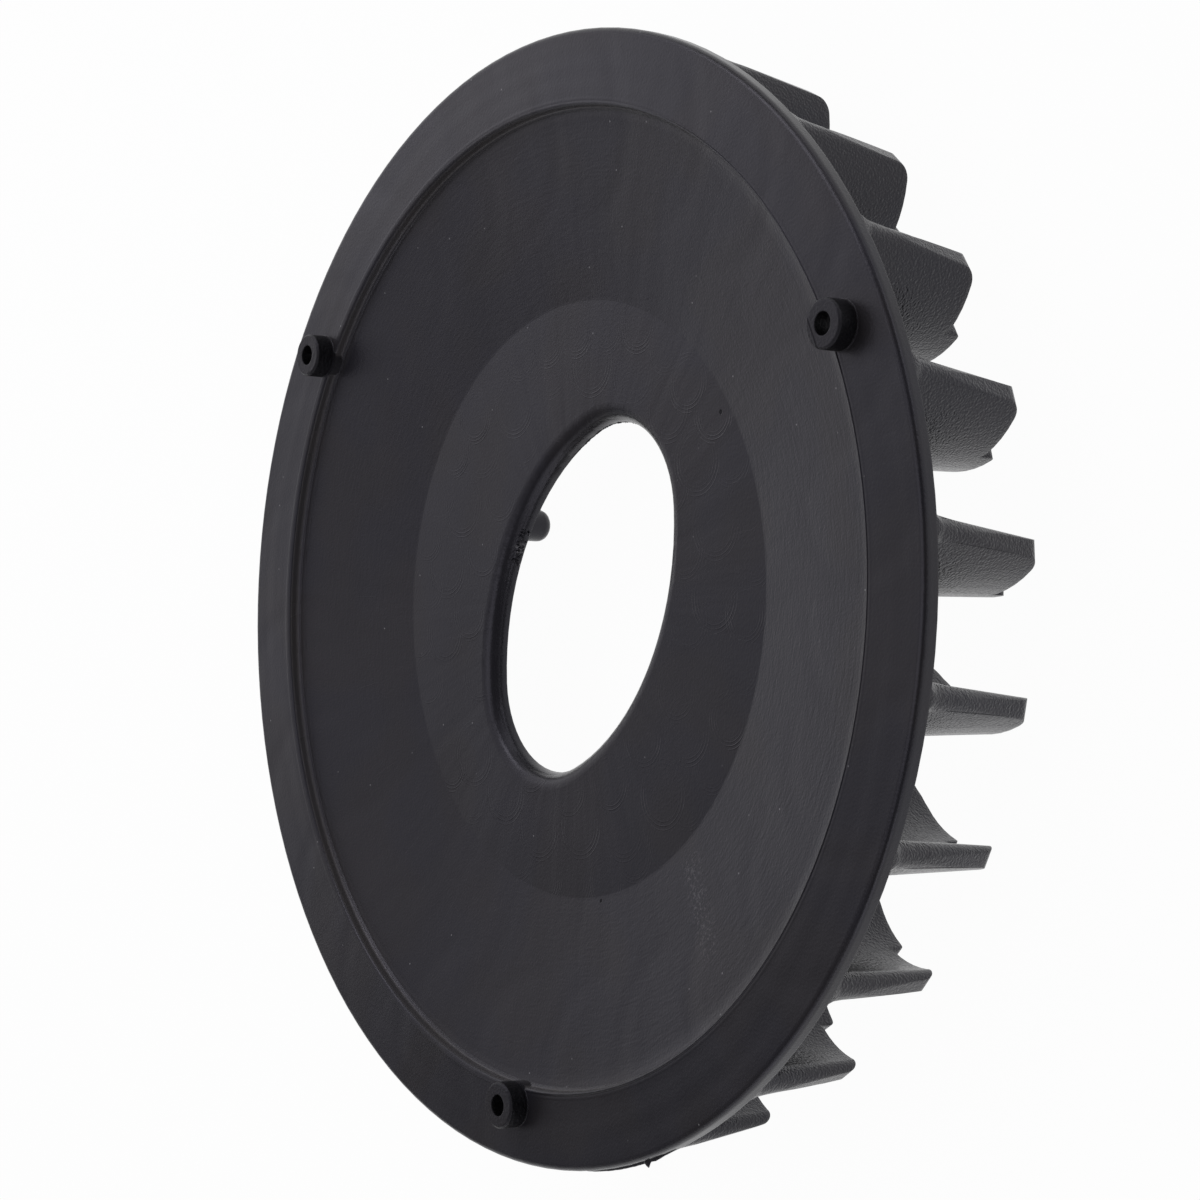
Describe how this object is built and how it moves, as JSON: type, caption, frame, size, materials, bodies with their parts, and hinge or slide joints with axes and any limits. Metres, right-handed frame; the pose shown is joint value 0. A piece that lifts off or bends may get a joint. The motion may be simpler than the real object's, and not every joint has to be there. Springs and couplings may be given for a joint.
{
  "type": "engine flywheel cooling fan",
  "caption": "One-piece moulded radial cooling fan for a small engine's flywheel, with curved blades, an oval centre hole and tubular fixing bosses.",
  "frame": {"origin": "centre of the fan at the level of the blades' lowest free edges, on which it rests", "axes": "+Z along the fan's axis, out of the face that meets the flywheel; +X and +Y across the disc, with one fixing boss on +Y"},
  "size_m": [0.176, 0.176, 0.0305],
  "materials": {
    "fan_plastic": "satin"
  },
  "bodies": {
    "root": {"flywheel_fan": "fan_plastic"}
  },
  "joints": []
}
